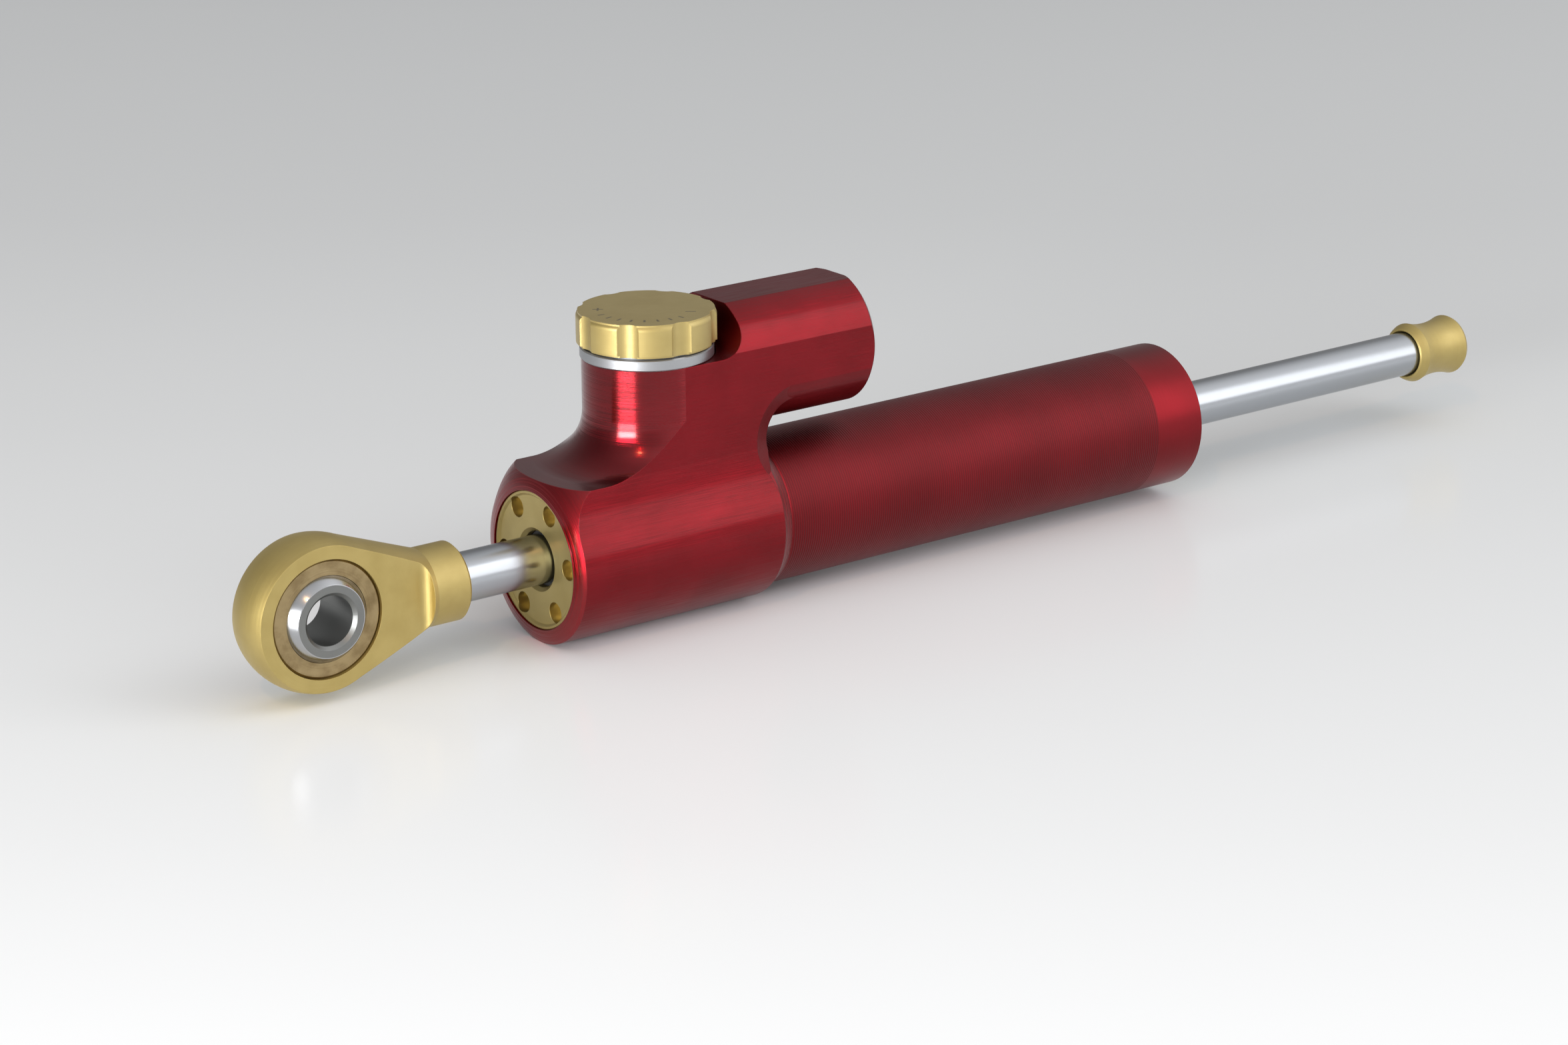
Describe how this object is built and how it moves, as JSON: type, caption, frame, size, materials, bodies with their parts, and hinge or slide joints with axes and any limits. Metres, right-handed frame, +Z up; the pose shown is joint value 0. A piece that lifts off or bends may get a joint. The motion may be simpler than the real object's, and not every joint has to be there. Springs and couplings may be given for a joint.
{
  "type": "motorcycle steering damper",
  "caption": "Through-rod hydraulic steering damper with a spherical rod end, a tail stop, a knob-set needle valve and a spring-loaded reservoir barrel over the main tube.",
  "frame": {"origin": "centre of the rod end's ball, on the damper's axis", "axes": "+X along the rod towards the tail stop, +Y along the ball's bolt bore, +Z up through the adjuster knob"},
  "size_m": [0.2574, 0.0276, 0.0512],
  "materials": {
    "red_anodised": "satin red anodised, fine turning and brushing lines",
    "gold_anodised": "satin gold anodised",
    "silver_anodised": "satin, turned",
    "chromed_rod": "hard chrome, mirror polished",
    "polished_steel": "polished bearing steel",
    "bearing_bronze": "machined bronze, stained",
    "steel": "machined",
    "black_rubber": "matte",
    "ring_plastic": "filled PTFE"
  },
  "bodies": {
    "damper_body": {"valve_head": "red_anodised", "cylinder_tube": "red_anodised", "inner_cylinder": "steel", "tube_oring": "black_rubber", "front_gland_nut": "gold_anodised", "front_wiper": "black_rubber", "front_rod_seal": "black_rubber", "front_rod_guide": "bearing_bronze", "front_guide_oring": "black_rubber", "rear_gland_nut": "gold_anodised", "rear_wiper": "black_rubber", "rear_rod_seal": "black_rubber", "rear_rod_guide": "bearing_bronze", "rear_guide_oring": "black_rubber", "knob_collar": "silver_anodised", "spindle_oring": "black_rubber", "needle_guide": "bearing_bronze", "needle_seat": "bearing_bronze", "reservoir_spring": "steel", "reservoir_plug": "gold_anodised", "reservoir_plug_oring": "black_rubber", "reservoir_circlip": "steel"},
    "piston_ring": {"piston_ring": "ring_plastic"},
    "rod": {"piston_rod": "chromed_rod", "piston": "bearing_bronze", "piston_circlips": "steel", "tail_stop": "gold_anodised", "rod_end_housing": "gold_anodised", "rod_end_race": "bearing_bronze"},
    "rod_end_ball": {"rod_end_ball": "polished_steel"},
    "knob": {"adjuster_knob": "gold_anodised", "knob_grub_screw": "steel", "detent_ball": "polished_steel", "detent_spring": "steel", "adjuster_spindle": "steel"},
    "needle": {"adjuster_needle": "steel"},
    "reservoir_piston": {"reservoir_piston": "bearing_bronze", "reservoir_piston_oring": "black_rubber"}
  },
  "joints": [
    {"name": "rod_slide", "type": "slide", "parent": "damper_body", "child": "piston_ring", "axis": [1, 0, 0], "range_m": [-0.061, 0.014]},
    {"name": "rod_spin", "type": "hinge", "parent": "piston_ring", "child": "rod", "pos_m": [0.129, 0, 0], "axis": [1, 0, 0], "continuous": true},
    {"name": "ball_tilt", "type": "hinge", "parent": "rod", "child": "rod_end_ball", "pos_m": [0, 0, 0], "axis": [0, 0, 1], "range_deg": [-13, 13]},
    {"name": "knob_turn", "type": "hinge", "parent": "damper_body", "child": "knob", "pos_m": [0.0624, 0, 0.0353], "axis": [0, 0, -1], "range_deg": [0, 345]},
    {"name": "needle_feed", "type": "slide", "parent": "damper_body", "child": "needle", "axis": [0, 0, -1], "range_m": [0, 0.00096]},
    {"name": "reservoir_float", "type": "slide", "parent": "damper_body", "child": "reservoir_piston", "axis": [1, 0, 0], "range_m": [-0.003, 0.002], "stiffness_N_per_m": 300, "deforming": ["reservoir_spring"]}
  ],
  "couplings": [
    {"joint": "needle_feed", "follows": "knob_turn", "m_per_rad": 0.00015915}
  ]
}
